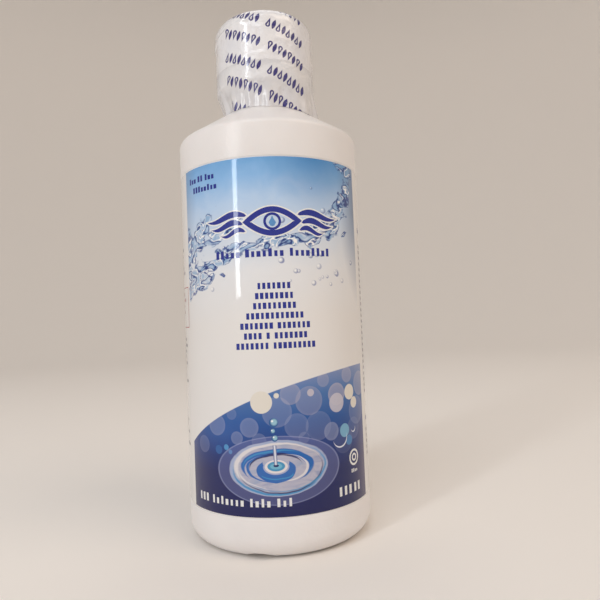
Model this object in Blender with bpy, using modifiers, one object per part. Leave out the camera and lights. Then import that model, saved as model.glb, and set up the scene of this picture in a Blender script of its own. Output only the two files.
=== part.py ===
"""A full 150 ml contact lens solution bottle, new and still sealed, standing upright.

Round blow-moulded bottle with a wrap label, a dropper nozzle, a screwed flip-top closure
and a shrink film over the closure. Metres, +Z up, front towards -Y, origin under the base.
The profiles below are in millimetres as (radius, height above the base).
"""

import math

import bmesh
import bpy
from mathutils import Matrix

MM = 0.001

# Driving dimensions, in millimetres.
BODY_RADIUS = 23.5
BODY_WALL = 0.9
HEEL_RADIUS = 4.8
STANDING_RING = 1.5
LABEL_RECESS = 0.45
LABEL_BOTTOM = 9.9
LABEL_TOP = 91.6
LABEL_THICKNESS = 0.15
LABEL_SEAM = 1.5
SHOULDER_EDGE = 100.5
SHOULDER_SLOPE = math.radians(33)
SHOULDER_ROUNDING = 1.2
NECK_RADIUS = 9.5
NECK_BORE = 7.65
NECK_TOP = 121.4
NECK_BEAD_RADIUS = 11.0
NECK_BEAD_HEIGHT = 112.0
FILL_LEVEL = 102.5
COLLAR_RADIUS = 12.85
COLLAR_BOTTOM = 114.9
COLLAR_BORE = 10.75
PARTING_HEIGHT = 119.55
PARTING_GAP = 0.3
DECK_TOP = 124.6
DECK_THICKNESS = 1.0
LID_TOP = 133.0
LID_WALL = 1.0
LID_TOP_THICKNESS = 1.3
LID_ROUNDING = 3.0
HINGE_FLAT = 12.3
HINGE_AXIS = 13.35
STRAP_WIDTH = 5.0
STRAP_LENGTH = 2.4
STRAP_THICKNESS = 0.2
THREAD_PITCH = 3.175
THREAD_TURNS = 1.25
THREAD_DEPTH = 0.95
THREAD_START = 116.3
FILM_THICKNESS = 0.15
FILM_GAP = 0.15
FILM_BOTTOM = 108.4
PERFORATION = 0.4
FIT_GAP = 0.3

FACETS = 48
FINE_FACETS = 48


def arc(centre, radius, start, end, steps):
    """Points of a circular arc, angles in degrees from the +radius direction."""
    points = []
    for step in range(steps + 1):
        angle = math.radians(start + (end - start) * step / steps)
        points.append((centre[0] + radius * math.cos(angle), centre[1] + radius * math.sin(angle)))
    return points


def new_collection(name):
    collection = bpy.data.collections.new(name)
    bpy.context.scene.collection.children.link(collection)
    return collection


def clear_scene():
    for obj in list(bpy.data.objects):
        bpy.data.objects.remove(obj, do_unlink=True)


def material(name, colour, roughness, alpha=1.0):
    made = bpy.data.materials.new(name)
    made.use_nodes = True
    shader = made.node_tree.nodes["Principled BSDF"]
    shader.inputs["Base Color"].default_value = (*colour, 1.0)
    shader.inputs["Roughness"].default_value = roughness
    shader.inputs["Metallic"].default_value = 0.0
    shader.inputs["Alpha"].default_value = alpha
    made.diffuse_color = (*colour, alpha)
    return made


def add_mesh(name, collection, mesh, pivot=(0.0, 0.0, 0.0)):
    """Makes the object, with its origin on the pivot and its geometry left where it is."""
    obj = bpy.data.objects.new(name, mesh)
    mesh.transform(Matrix.Translation([-value for value in pivot]))
    obj.location = pivot
    collection.objects.link(obj)
    return obj


def smooth(obj):
    obj.data.shade_smooth()
    obj.data.set_sharp_from_angle(angle=math.radians(35))


def turned(name, collection, profile, closed=False, facets=FACETS):
    """Turns a profile about Z. It runs down the outer side; a closed one makes a ring."""
    mesh = bpy.data.meshes.new(name)
    points = [(radius * MM, 0.0, height * MM) for radius, height in profile]
    edges = [(index, index + 1) for index in range(len(points) - 1)]
    if closed:
        edges.append((len(points) - 1, 0))
    mesh.from_pydata(points, edges, [])
    obj = add_mesh(name, collection, mesh)
    screw = obj.modifiers.new("Turn", "SCREW")
    screw.axis = "Z"
    screw.angle = math.tau
    screw.steps = facets
    screw.render_steps = facets
    screw.use_merge_vertices = True
    screw.merge_threshold = 0.00001
    screw.use_smooth_shade = True
    return obj


def baked(obj, pivot):
    """Replaces an object by its finished mesh, with its origin on the pivot."""
    bpy.context.view_layer.update()
    graph = bpy.context.evaluated_depsgraph_get()
    mesh = bpy.data.meshes.new_from_object(obj.evaluated_get(graph))
    name = obj.name
    collection = obj.users_collection[0]
    bpy.data.objects.remove(obj, do_unlink=True)
    mesh.name = name
    return add_mesh(name, collection, mesh, pivot)


def cut(obj, cutter):
    boolean = obj.modifiers.new("Cut " + cutter.name, "BOOLEAN")
    boolean.operation = "DIFFERENCE"
    boolean.object = cutter


def join(obj, other):
    boolean = obj.modifiers.new("Join " + other.name, "BOOLEAN")
    boolean.operation = "UNION"
    boolean.object = other


def hidden(obj):
    obj.hide_render = True
    obj.display_type = "WIRE"
    return obj


def box(name, collection, low, high):
    mesh = bpy.data.meshes.new(name)
    bm = bmesh.new()
    bmesh.ops.create_cube(bm, size=1.0)
    size = [(b - a) * MM for a, b in zip(low, high)]
    centre = [(a + b) * MM / 2 for a, b in zip(low, high)]
    bmesh.ops.scale(bm, vec=size, verts=bm.verts)
    bmesh.ops.translate(bm, vec=centre, verts=bm.verts)
    bm.to_mesh(mesh)
    bm.free()
    return add_mesh(name, collection, mesh)


def cylinder(name, collection, radius, length, matrix, facets=32):
    """A closed cylinder along its own Z, placed by the matrix (millimetres)."""
    mesh = bpy.data.meshes.new(name)
    bm = bmesh.new()
    bmesh.ops.create_cone(
        bm,
        cap_ends=True,
        segments=facets,
        radius1=radius,
        radius2=radius,
        depth=length,
    )
    bmesh.ops.transform(bm, matrix=Matrix.Scale(MM, 4) @ matrix, verts=bm.verts)
    bm.to_mesh(mesh)
    bm.free()
    return add_mesh(name, collection, mesh)


def thread_ridge(name, collection, buried, crest, start_height, start_angle):
    """One start of a right-hand thread, with both ends fading into the wall it grows from."""
    sections = 24
    steps = round(THREAD_TURNS * sections)
    fade = 4
    rows = []
    bm = bmesh.new()
    for step in range(steps + 1):
        turn = step / sections
        angle = start_angle + math.tau * turn
        height = start_height + THREAD_PITCH * turn
        strength = min(1.0, (step + 0.5) / fade, (steps - step + 0.5) / fade)
        tip = buried + (crest - buried) * strength
        row = []
        for radius, offset in ((buried, -0.75), (tip, -0.38), (tip, 0.38), (buried, 0.75)):
            x = radius * math.cos(angle)
            y = radius * math.sin(angle)
            row.append(bm.verts.new((x * MM, y * MM, (height + offset) * MM)))
        rows.append(row)
    for first, second in zip(rows, rows[1:]):
        for corner in range(4):
            after = (corner + 1) % 4
            bm.faces.new((first[corner], first[after], second[after], second[corner]))
    bm.faces.new(rows[0])
    bm.faces.new(reversed(rows[-1]))
    bmesh.ops.recalc_face_normals(bm, faces=bm.faces)
    mesh = bpy.data.meshes.new(name)
    bm.to_mesh(mesh)
    bm.free()
    return hidden(add_mesh(name, collection, mesh))


def shoulder_height(radius):
    """Height of the bottle's conical shoulder at a radius, before its edges are rounded."""
    return SHOULDER_EDGE + (BODY_RADIUS - radius) * math.tan(SHOULDER_SLOPE)


def bottle_outside():
    """The outer outline, from the neck's top edge down to the centre of the base."""
    normal = 90 - math.degrees(SHOULDER_SLOPE)
    panel = BODY_RADIUS - LABEL_RECESS
    ring_outer = BODY_RADIUS - HEEL_RADIUS
    ring_inner = ring_outer - STANDING_RING
    rise = 1.8
    root = SHOULDER_ROUNDING
    root_radius = NECK_RADIUS + root
    touch = root_radius - root * math.cos(math.radians(normal))
    root_height = shoulder_height(touch) + root * math.sin(math.radians(normal))
    edge_drop = SHOULDER_ROUNDING * math.tan(math.radians(normal / 2))
    bead = NECK_BEAD_HEIGHT
    points = [(NECK_RADIUS - 0.3, NECK_TOP), (NECK_RADIUS, NECK_TOP - 0.3)]
    points += [(NECK_RADIUS, bead + 0.9), (NECK_BEAD_RADIUS, bead + 0.5)]
    points += [(NECK_BEAD_RADIUS, bead - 0.5), (NECK_RADIUS, bead - 0.9)]
    points += arc((root_radius, root_height), root, 180, 180 + normal, 4)
    edge = (BODY_RADIUS - SHOULDER_ROUNDING, SHOULDER_EDGE - edge_drop)
    points += arc(edge, SHOULDER_ROUNDING, normal, 0, 4)
    points += [(BODY_RADIUS, LABEL_TOP + 0.7), (panel, LABEL_TOP + 0.4)]
    points += [(panel, LABEL_BOTTOM - 0.4), (BODY_RADIUS, LABEL_BOTTOM - 0.7)]
    points += arc((ring_outer, HEEL_RADIUS), HEEL_RADIUS, 0, -90, 7)
    points += arc((ring_inner, rise), rise, -90, -180, 3)
    points += [(8.0, 2.45), (0.0, 2.6)]
    return points


def bottle_inside(inset, low, high):
    """The cavity's outline from the centre of its floor, up to a height under the shoulder."""
    wall = BODY_RADIUS - LABEL_RECESS - BODY_WALL - inset
    heel = HEEL_RADIUS - 1.0 - inset
    floor = 1.3 + inset
    centre = (wall - heel, floor + heel)
    points = [(0.0, low), (8.0, low - 0.15), (15.6, low - 0.8), (16.7, floor + 0.8)]
    points += [(17.3, floor + 0.1), (17.8, floor)]
    points += arc(centre, heel, -90, 0, 5)
    drop = (BODY_WALL + inset) / math.cos(SHOULDER_SLOPE)
    points.append((wall, shoulder_height(wall) - drop))
    top = BODY_RADIUS - (high + drop - SHOULDER_EDGE) / math.tan(SHOULDER_SLOPE)
    points.append((top, high))
    return points


def make_bottle(parts, cutters):
    """Blow-moulded bottle: one wall, open at the neck, with a support bead and a thread."""
    bore_meets_shoulder = shoulder_height(NECK_BORE) - BODY_WALL / math.cos(SHOULDER_SLOPE)
    profile = bottle_inside(0.0, 3.9, bore_meets_shoulder)
    profile += [(NECK_BORE, NECK_TOP - 0.3), (NECK_BORE + 0.3, NECK_TOP)]
    profile += bottle_outside()
    bottle = turned("bottle", parts, profile)
    crest = NECK_RADIUS + THREAD_DEPTH
    ridge = thread_ridge("neck_thread", cutters, NECK_RADIUS - 0.35, crest, THREAD_START, 0.0)
    join(bottle, ridge)
    # A shallow notch in the heel, a little left of the front, turns the bottle for labelling.
    turn = Matrix.Rotation(math.radians(-14), 4, "Z")
    place = turn @ Matrix.Translation((0, -21.0, -1.6)) @ Matrix.Rotation(math.radians(90), 4, "X")
    notch = hidden(cylinder("heel_notch", cutters, 2.4, 9.0, place))
    cut(bottle, notch)
    smooth(bottle)
    return bottle


def make_fill(parts):
    """The solution inside, level with the middle of the shoulder."""
    outline = bottle_inside(FIT_GAP, 4.2, FILL_LEVEL)
    profile = [(0.0, FILL_LEVEL)] + outline[::-1]
    return turned("solution_fill", parts, profile, facets=36)


def make_label(parts, cutters):
    """Wrap label in the body's shallow recess; its two ends meet at the back."""
    outer = BODY_RADIUS - 0.05
    inner = outer - LABEL_THICKNESS
    profile = [(inner, LABEL_TOP), (outer, LABEL_TOP), (outer, LABEL_BOTTOM), (inner, LABEL_BOTTOM)]
    label = turned("wrap_label", parts, profile, closed=True, facets=64)
    half = LABEL_SEAM / 2
    low = (-half, 20.0, LABEL_BOTTOM - 1)
    high = (half, 26.0, LABEL_TOP + 1)
    cut(label, hidden(box("label_seam", cutters, low, high)))
    return label


def make_nozzle(parts):
    """Dropper insert: a plug in the neck's bore, a flange on its rim and a tapered tip."""
    flange = NECK_TOP + FIT_GAP
    plug = NECK_BORE - FIT_GAP
    tip = 131.0
    profile = [(0.7, tip), (1.5, tip)]
    profile += arc((1.5, tip - 0.5), 0.5, 60, 0, 2)
    profile += [(2.3, 128.4), (3.3, 125.2), (3.5, flange + 1.1), (3.8, flange + 0.8)]
    profile += [(9.1, flange + 0.8), (9.1, flange), (plug, flange), (plug, 117.2), (6.9, 116.2)]
    profile += [(6.3, 116.2), (6.3, 120.4), (5.9, 120.9), (2.6, 121.5), (2.2, 124.5)]
    profile += [(1.3, 129.6), (0.7, 130.0)]
    return turned("nozzle_insert", parts, profile, closed=True, facets=36)


def make_washer(parts):
    """Sealing washer held under the closure's deck. It lifts with the closure, not turning."""
    top = DECK_TOP - DECK_THICKNESS - FIT_GAP
    bottom = top - 0.45
    profile = [(4.4, top), (8.8, top), (8.8, bottom), (4.4, bottom)]
    return turned("seal_washer", parts, profile, closed=True, facets=36)


def hinge_flat(cutters):
    """A box that leaves the closure's back flat where the strap lies."""
    low = (-5.0, HINGE_FLAT, PARTING_HEIGHT - 3.0)
    high = (5.0, HINGE_FLAT + 3.0, LID_TOP + 1.0)
    return hidden(box("hinge_flat", cutters, low, high))


def make_collar(parts, cutters, flat):
    """Screwed half of the closure: skirt with a thread inside, and a deck round the nozzle."""
    rim = PARTING_HEIGHT - PARTING_GAP / 2
    deck = DECK_TOP - DECK_THICKNESS
    profile = [(4.1, DECK_TOP), (11.1, DECK_TOP), (11.45, 122.0), (11.45, rim)]
    profile += [(COLLAR_RADIUS - 0.3, rim), (COLLAR_RADIUS, rim - 0.3)]
    profile += [(COLLAR_RADIUS, COLLAR_BOTTOM + 0.3), (COLLAR_RADIUS - 0.3, COLLAR_BOTTOM)]
    profile += [(COLLAR_BORE + 0.3, COLLAR_BOTTOM), (COLLAR_BORE, COLLAR_BOTTOM + 0.3)]
    profile += [(COLLAR_BORE, deck), (4.1, deck)]
    collar = turned("closure_collar", parts, profile, closed=True, facets=FINE_FACETS)
    start_turn = 0.375
    start = THREAD_START + THREAD_PITCH * (start_turn - 0.5)
    crest = COLLAR_BORE - THREAD_DEPTH
    ridge = thread_ridge(
        "collar_thread", cutters, COLLAR_BORE + 0.35, crest, start, math.tau * start_turn
    )
    join(collar, ridge)
    cut(collar, flat)
    # A thumb scoop under the lid's front edge.
    place = Matrix.Translation((0, -COLLAR_RADIUS - 2.2, rim)) @ Matrix.Rotation(math.radians(90), 4, "Y")
    cut(collar, hidden(cylinder("thumb_scoop", cutters, 3.0, 9.0, place)))
    smooth(collar)
    return collar


def make_lid(parts, flat, pivot):
    """Flip lid: a domed cap whose inner boss closes the nozzle's tip."""
    rim = PARTING_HEIGHT + PARTING_GAP / 2
    inner = COLLAR_RADIUS - LID_WALL
    ceiling = LID_TOP - LID_TOP_THICKNESS
    centre = (COLLAR_RADIUS - LID_ROUNDING, LID_TOP - LID_ROUNDING)
    profile = [(0.0, LID_TOP)] + arc(centre, LID_ROUNDING, 90, 0, 6)
    profile += [(COLLAR_RADIUS, rim + 0.3), (COLLAR_RADIUS - 0.25, rim)]
    profile += [(inner + 0.25, rim), (inner, rim + 0.3)]
    profile += arc((inner - 2.0, ceiling - 2.0), 2.0, 0, 90, 4)
    profile += [(2.8, ceiling), (2.5, ceiling - 0.35), (0.0, ceiling - 0.35)]
    lid = turned("flip_lid", parts, profile, facets=FINE_FACETS)
    cut(lid, flat)
    lid = baked(lid, pivot)
    smooth(lid)
    return lid


def make_strap(parts, name, low, pivot):
    """One half of the living hinge, a thin strap on the closure's flat back."""
    near = HINGE_FLAT + 0.15
    corner = (-STRAP_WIDTH / 2, near, low)
    opposite = (STRAP_WIDTH / 2, near + STRAP_THICKNESS, low + STRAP_LENGTH)
    strap = box(name, parts, corner, opposite)
    if pivot:
        strap = baked(strap, pivot)
    return strap


def make_film_band(parts):
    """Upper band of the shrink film, drawn over the lid and the edge of its top."""
    outer = COLLAR_RADIUS + FILM_GAP + FILM_THICKNESS
    inner = outer - FILM_THICKNESS
    centre = (COLLAR_RADIUS - LID_ROUNDING, LID_TOP - LID_ROUNDING)
    low = PARTING_HEIGHT + PERFORATION / 2
    mouth = 8.5
    outside = arc(centre, outer - centre[0], 90, 0, 6) + [(outer, low)]
    inside = [(inner, low)] + arc(centre, inner - centre[0], 0, 90, 6)
    outside.insert(0, (mouth, outside[0][1]))
    inside.append((mouth, inside[-1][1]))
    return turned("seal_film_band", parts, outside + inside, closed=True, facets=FINE_FACETS)


def make_film_skirt(parts):
    """Lower band of the shrink film, below the perforation, drawn in to the neck."""
    outer = COLLAR_RADIUS + FILM_GAP + FILM_THICKNESS
    high = PARTING_HEIGHT - PERFORATION / 2
    outside = [(outer, high), (outer, COLLAR_BOTTOM - 0.3)]
    outside += [(outer - 0.3, 112.4), (outer - 0.8, 110.0), (outer - 1.05, FILM_BOTTOM)]
    inside = [(radius - FILM_THICKNESS, height) for radius, height in reversed(outside)]
    return turned("seal_film_skirt", parts, outside + inside, closed=True, facets=FINE_FACETS)


def main():
    clear_scene()
    parts = new_collection("contact_lens_solution_bottle")
    cutters = new_collection("cutters")
    pivot = (0.0, HINGE_AXIS * MM, PARTING_HEIGHT * MM)
    flat = hinge_flat(cutters)
    lower_strap = PARTING_HEIGHT - 0.2 - STRAP_LENGTH
    upper_strap = PARTING_HEIGHT + 0.2
    white_bottle = material("bottle_white", (0.80, 0.76, 0.74), 0.30)
    white_closure = material("closure_white", (0.84, 0.82, 0.81), 0.28)
    clear_plug = material("nozzle_natural", (0.86, 0.87, 0.86), 0.40, 0.8)
    liner = material("washer_foam", (0.88, 0.88, 0.86), 0.60)
    printed = material("label_print", (0.42, 0.58, 0.80), 0.22)
    film = material("film_clear", (0.80, 0.80, 0.84), 0.15, 0.55)
    liquid = material("solution_clear", (0.86, 0.93, 0.97), 0.05, 0.4)
    finished = {
        make_bottle(parts, cutters): white_bottle,
        make_fill(parts): liquid,
        make_label(parts, cutters): printed,
        make_nozzle(parts): clear_plug,
        make_washer(parts): liner,
        make_collar(parts, cutters, flat): white_closure,
        make_lid(parts, flat, pivot): white_closure.copy(),
        make_strap(parts, "hinge_strap_lower", lower_strap, None): white_closure.copy(),
        make_strap(parts, "hinge_strap_upper", upper_strap, pivot): white_closure.copy(),
        make_film_band(parts): film,
        make_film_skirt(parts): film.copy(),
    }
    for obj, look in finished.items():
        look.name = obj.name + "_material"
        obj.data.materials.clear()
        obj.data.materials.append(look)


main()
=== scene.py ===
"""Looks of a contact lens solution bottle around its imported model.

Profiles and label art are in millimetres. Angles go round the bottle from the front (-Y), positive
towards +X. On the label, u is the arc length from the front and v the height above its lower edge.
On the film, u is the arc length too, and v the length down its profile.
"""

import random
from math import ceil, cos, degrees, dist, exp, hypot, pi, radians, sin, sqrt, tan, tau

import bpy
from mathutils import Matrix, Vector


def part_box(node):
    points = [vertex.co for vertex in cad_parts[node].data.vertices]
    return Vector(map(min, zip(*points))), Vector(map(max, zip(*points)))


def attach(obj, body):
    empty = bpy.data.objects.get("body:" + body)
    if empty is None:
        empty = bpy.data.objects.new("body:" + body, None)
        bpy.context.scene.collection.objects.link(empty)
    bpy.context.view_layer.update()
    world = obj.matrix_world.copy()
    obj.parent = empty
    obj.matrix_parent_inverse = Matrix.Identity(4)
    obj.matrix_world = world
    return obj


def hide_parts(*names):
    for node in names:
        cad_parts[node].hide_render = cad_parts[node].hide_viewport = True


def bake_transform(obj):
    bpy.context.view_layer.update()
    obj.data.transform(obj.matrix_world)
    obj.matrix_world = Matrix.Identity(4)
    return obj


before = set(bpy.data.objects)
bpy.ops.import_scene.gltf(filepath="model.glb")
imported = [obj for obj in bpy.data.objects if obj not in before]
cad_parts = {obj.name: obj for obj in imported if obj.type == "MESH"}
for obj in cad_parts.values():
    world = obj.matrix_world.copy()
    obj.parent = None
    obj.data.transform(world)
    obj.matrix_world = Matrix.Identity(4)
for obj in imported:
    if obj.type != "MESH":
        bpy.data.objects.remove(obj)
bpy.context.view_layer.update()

MM = 0.001


def mm(value):
    return value / MM


def cad(node):
    """A CAD node's half width, and its lowest and highest points."""
    low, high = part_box(node)
    return mm(high[0] - low[0]) / 2, mm(low[2]), mm(high[2])


# Sizes read from the frame, in millimetres.
BODY, _, NECK_TOP = cad("bottle")
LABEL, LABEL_LOW, LABEL_HIGH = cad("wrap_label")
COLLAR, COLLAR_LOW, DECK_TOP = cad("closure_collar")
_, LID_LOW, LID_TOP = cad("flip_lid")
FILM, _, FILM_TOP = cad("seal_film_band")
_, SKIRT_LOW, _ = cad("seal_film_skirt")
FLANGE, NOZZLE_LOW, TIP = cad("nozzle_insert")
WASHER, WASHER_LOW, WASHER_TOP = cad("seal_washer")
STRAP_HALF, STRAP_LOW, STRAP_LOWER_TOP = cad("hinge_strap_lower")
_, STRAP_UPPER_LOW, STRAP_HIGH = cad("hinge_strap_upper")
STRAP_Y = mm(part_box("hinge_strap_lower")[0][1])
PARTING = (STRAP_LOWER_TOP + STRAP_UPPER_LOW) / 2

# Sizes that the boxes don't hold, as in the CAD model.
HEEL = 4.8
SHOULDER_EDGE = 100.5
SHOULDER_SLOPE = radians(33)
WALL = 0.9
NECK = 9.5
NECK_BORE = 7.65
BEAD = 11.0
BEAD_HEIGHT = 112.0
COLLAR_BORE = 10.75
THREAD_PITCH = 3.175
THREAD_START = 116.3
THREAD_TURNS = 1.25
HINGE_FLAT = 12.3
LID_INNER = COLLAR - 1.0
LID_ROUNDING = 3.0

# The visible film stands a little off the CAD film, at its side and on top.
FILM_SIDE = FILM + 0.05
FILM_CROWN = FILM_TOP + 0.2
# Radius of the opening in the film's top, and the least radius of the skirt.
FILM_MOUTH = 8.5
SKIRT_NARROWEST = NECK + 0.9
# Visible skirt's lower edge above the shoulder.
SKIRT_GAP = 0.12


def shoulder_height(radius):
    return SHOULDER_EDGE + (BODY - radius) * tan(SHOULDER_SLOPE)


def ramp(value, start, end):
    """0 at start, 1 at end, smooth between."""
    t = min(1.0, max(0.0, (value - start) / (end - start)))
    return t * t * (3 - 2 * t)


def arc(centre, radius, start, end, steps):
    points = []
    for step in range(steps + 1):
        angle = radians(start + (end - start) * step / steps)
        points.append((centre[0] + radius * cos(angle), centre[1] + radius * sin(angle)))
    return points


def line(start, end, steps):
    """Points from start to end, without the last."""
    return [
        (start[0] + (end[0] - start[0]) * k / steps, start[1] + (end[1] - start[1]) * k / steps)
        for k in range(steps)
    ]


def place(angle, radius, height):
    return (radius * sin(angle) * MM, -radius * cos(angle) * MM, height * MM)


# ---------------------------------------------------------------- meshes


class Builder:
    """Collects points and faces, with a UV in millimetres for each point, into one mesh."""

    def __init__(self):
        self.points = []
        self.uvs = []
        self.faces = []
        self.slots = []
        self.closing = set()

    def add(self, point, uv=(0.0, 0.0)):
        self.points.append(point)
        self.uvs.append(uv)
        return len(self.points) - 1

    def face(self, corners, slot=0):
        self.faces.append(corners)
        self.slots.append(slot)

    def turned(self, profile, segments, shape=None, loop=False):
        """Turns a profile about Z, running down its outer side. shape changes (angle, r, z)."""
        along = [0.0]
        for (r0, z0), (r1, z1) in zip(profile, profile[1:]):
            along.append(along[-1] + hypot(r1 - r0, z1 - z0))
        rows = []
        for (radius, height), length in zip(profile, along):
            if radius < 1e-6 and shape is None:
                rows.append([self.add((0, 0, height * MM), (0.0, length))] * segments)
                continue
            row = []
            for column in range(segments):
                angle = tau * column / segments - pi
                r, z = shape(angle, radius, height) if shape else (radius, height)
                row.append(self.add(place(angle, r, z), (angle * FILM, length)))
            rows.append(row)
        if loop:
            rows.append(rows[0])
        for upper, lower in zip(rows, rows[1:]):
            for column in range(segments):
                after = (column + 1) % segments
                corners = [upper[column], lower[column], lower[after], upper[after]]
                unique = list(dict.fromkeys(corners))
                if len(unique) > 2:
                    if after == 0:
                        self.closing.add(len(self.faces))
                    self.face(unique)
        return self

    def ridge(self, buried, crest, height, angle, turns):
        """A thread's ridge, with rounded crest and faded ends."""
        sections = 96
        faded = 14
        half_width = 0.78
        steps = round(turns * sections)
        rows = []
        for step in range(steps + 1):
            turn = step / sections
            strength = ramp(min(step, steps - step) / faded, 0, 1)
            row = []
            for across in range(9):
                t = across / 4 - 1
                lift = 1.0 if abs(t) < 0.35 else 1 - ramp(abs(t), 0.35, 1.0)
                r = buried + (crest - buried) * lift * strength
                z = height + THREAD_PITCH * turn + half_width * t
                row.append(self.add(place(angle + tau * turn, r, z)))
            rows.append(row)
        for first, second in zip(rows, rows[1:]):
            for k in range(8):
                corners = [first[k], second[k], second[k + 1], first[k + 1]]
                self.face(corners if crest > buried else corners[::-1])

    def finish(self, name, body, node, materials, replaces=True, sharp=40):
        """Makes the mesh on this body; it usually replaces this node, which is then hidden."""
        mesh = bpy.data.meshes.new(name)
        mesh.from_pydata(self.points, [], self.faces)
        layer = mesh.uv_layers.new(name="surface_mm")
        for polygon in mesh.polygons:
            # Faces that close a full turn end a turn further on, not back at its start.
            turn = tau * FILM if polygon.index in self.closing else 0.0
            for loop in polygon.loop_indices:
                u, v = self.uvs[mesh.loops[loop].vertex_index]
                layer.data[loop].uv = (u + turn if u < 0 else u, v)
        for made in materials:
            mesh.materials.append(made)
        for polygon, index in zip(mesh.polygons, self.slots):
            polygon.material_index = index
        mesh.shade_smooth()
        mesh.set_sharp_from_angle(angle=radians(sharp))
        obj = bpy.data.objects.new(name, mesh)
        bpy.context.scene.collection.objects.link(obj)
        if body:
            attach(obj, body)
        if replaces:
            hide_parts(node)
        return obj


# ---------------------------------------------------------------- materials


def rgb(red, green, blue):
    """A linear colour from its 0 to 255 display values."""
    channels = []
    for value in (red, green, blue):
        value = value / 255
        channels.append(value / 12.92 if value <= 0.04045 else ((value + 0.055) / 1.055) ** 2.4)
    return (*channels, 1.0)


def shaded(colour, part):
    """The colour darkened to this part of its brightness."""
    return (*(channel * part for channel in colour[:3]), 1.0)


def feed(tree, value, socket):
    """Links a field or an output socket to an input, or sets a plain value on it."""
    if isinstance(value, Field):
        value = value.socket
    if isinstance(value, bpy.types.NodeSocket):
        tree.links.new(value, socket)
    else:
        socket.default_value = value


class Field:
    """A number that varies over the surface. Arithmetic on it adds Math nodes."""

    def __init__(self, tree, socket):
        self.tree = tree
        self.socket = socket

    def math(self, kind, *others, clamp=False):
        node = self.tree.nodes.new("ShaderNodeMath")
        node.operation = kind
        node.use_clamp = clamp
        for index, value in enumerate((self, *others)):
            feed(self.tree, value, node.inputs[index])
        return Field(self.tree, node.outputs[0])

    def __add__(self, other):
        return self.math("ADD", other)

    def __sub__(self, other):
        return self.math("SUBTRACT", other)

    def __mul__(self, other):
        return self.math("MULTIPLY", other)

    def __abs__(self):
        return self.math("ABSOLUTE")

    def floor(self):
        return self.math("FLOOR")

    def odd(self):
        """0.5 where this is an odd whole number, 0 where it is even."""
        half = self * 0.5
        return half - half.floor()

    def rises(self, start, end):
        """0 where this is start or less, 1 where it is end or more (end may be the lower)."""
        scale = 1 / (end - start)
        return self.math("MULTIPLY_ADD", scale, -start * scale, clamp=True)


class Paint:
    """A Principled material and its node tree, painted layer by layer."""

    def __init__(self, name, roughness, **settings):
        self.material = bpy.data.materials.new(name)
        self.material.use_nodes = True
        self.tree = self.material.node_tree
        self.shader = self.tree.nodes["Principled BSDF"]
        self.colour = None
        self.set("Roughness", roughness)
        for key, value in settings.items():
            self.set(key.replace("_", " "), value)

    def set(self, name, value):
        feed(self.tree, value, self.shader.inputs[name])

    def node(self, kind, **inputs):
        made = self.tree.nodes.new("ShaderNode" + kind)
        for key, value in inputs.items():
            feed(self.tree, value, made.inputs[key.replace("_", " ")])
        return made

    def surface(self):
        """The piece's own (u, v) in millimetres, as a vector socket and two fields."""
        vector = self.node("UVMap")
        vector.uv_map = "surface_mm"
        parts = self.node("SeparateXYZ", Vector=vector.outputs[0])
        u, v = (Field(self.tree, parts.outputs[index]) for index in (0, 1))
        return vector.outputs[0], u, v

    def solid_position(self):
        return self.node("TexCoord").outputs["Object"]

    def noise(self, vector, scale, detail=3.0, distortion=0.0, roughness=0.5):
        made = self.node("TexNoise", Vector=vector, Scale=scale, Detail=detail)
        made.inputs["Distortion"].default_value = distortion
        made.inputs["Roughness"].default_value = roughness
        return Field(self.tree, made.outputs[0])

    def vector(self, kind, first, second=(0, 0, 0)):
        made = self.node("VectorMath")
        made.operation = kind
        feed(self.tree, first, made.inputs[0])
        made.inputs[1].default_value = second
        return made

    def mapped(self, point, centre, size, angle=0.0):
        """The point seen from a centre, on axes turned by the angle and scaled to these sizes."""
        made = self.node("Mapping", Vector=point, Location=(*centre, 0), Scale=(*size, 1))
        made.inputs["Rotation"].default_value = (0, 0, radians(angle))
        made.vector_type = "TEXTURE"
        return made.outputs[0]

    def distance(self, point, centre):
        """Distance from a point socket to a centre (u, v)."""
        made = self.vector("DISTANCE", point, (*centre, 0))
        return Field(self.tree, made.outputs["Value"])

    def disc(self, point, centre, radius, soft):
        """1 inside a circle, 0 outside, with an edge that is soft for this much each way."""
        return self.distance(point, centre).rises(radius + soft, radius - soft)

    def stretched(self, point, centre, size, angle=0.0):
        """1 on the edge of an ellipse with these half sizes, turned by the angle in degrees."""
        made = self.vector("LENGTH", self.mapped(point, centre, size, angle))
        return Field(self.tree, made.outputs["Value"])

    def crescent(self, point, outer, inner, soft=0.02):
        """1 inside the first ellipse and outside the second: (u, v, half width, half height)."""
        inside = self.stretched(point, outer[:2], outer[2:]).rises(1 + soft, 1 - soft)
        return inside * self.stretched(point, inner[:2], inner[2:]).rises(1 - soft, 1 + soft)

    def stops(self, field, colours):
        """A colour along a field, from (position, colour) pairs."""
        made = self.node("ValToRGB")
        feed(self.tree, field, made.inputs[0])
        elements = made.color_ramp.elements
        while len(elements) < len(colours):
            elements.new(0.5)
        for element, (position, colour) in zip(elements, colours):
            element.position = position
            element.color = colour
        return made.outputs[0]

    def over(self, mask, colour):
        """Paints a colour (or a colour socket) over what is there, where the mask is 1.

        The first colour is the ground, and its mask is None.
        """
        if self.colour is None:
            self.colour = colour
            return
        made = self.node("Mix")
        made.data_type = "RGBA"
        for index, value in ((0, mask), (6, self.colour), (7, colour)):
            feed(self.tree, value, made.inputs[index])
        self.colour = made.outputs[2]

    def bump(self, height, distance, strength=1.0):
        made = self.node("Bump", Strength=strength, Distance=distance, Height=height)
        self.set("Normal", made.outputs[0])

    def done(self):
        self.set("Base Color", self.colour)
        return self.material


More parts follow.
